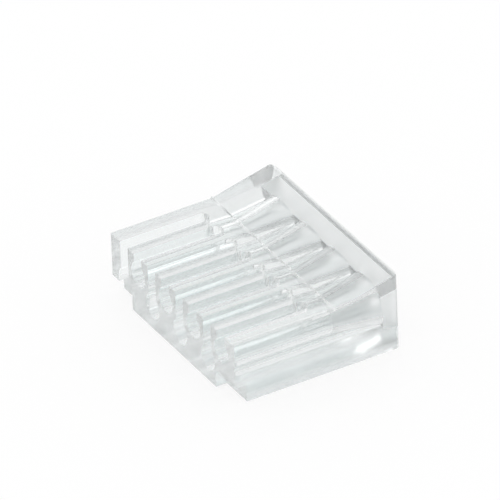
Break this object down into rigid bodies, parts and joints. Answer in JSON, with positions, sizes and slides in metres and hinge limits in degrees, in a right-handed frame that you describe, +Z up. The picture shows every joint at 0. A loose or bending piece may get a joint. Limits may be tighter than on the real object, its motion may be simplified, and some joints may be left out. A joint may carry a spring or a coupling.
{
  "type": "modular plug load bar",
  "caption": "Clear load bar of a modular plug: staggered round wire channels, contact slots open at the top of the comb, and a ramp over a mouth in the rear face.",
  "frame": {"origin": "middle of the underside", "axes": "+X across the channels, -Y out of the channels at the comb's face, +Y out of the mouth in the rear face, +Z up to the contact slots"},
  "size_m": [0.009, 0.007, 0.0033],
  "materials": {
    "clear_polycarbonate": "clear, polished"
  },
  "bodies": {
    "root": {"load_bar": "clear_polycarbonate"}
  },
  "joints": []
}
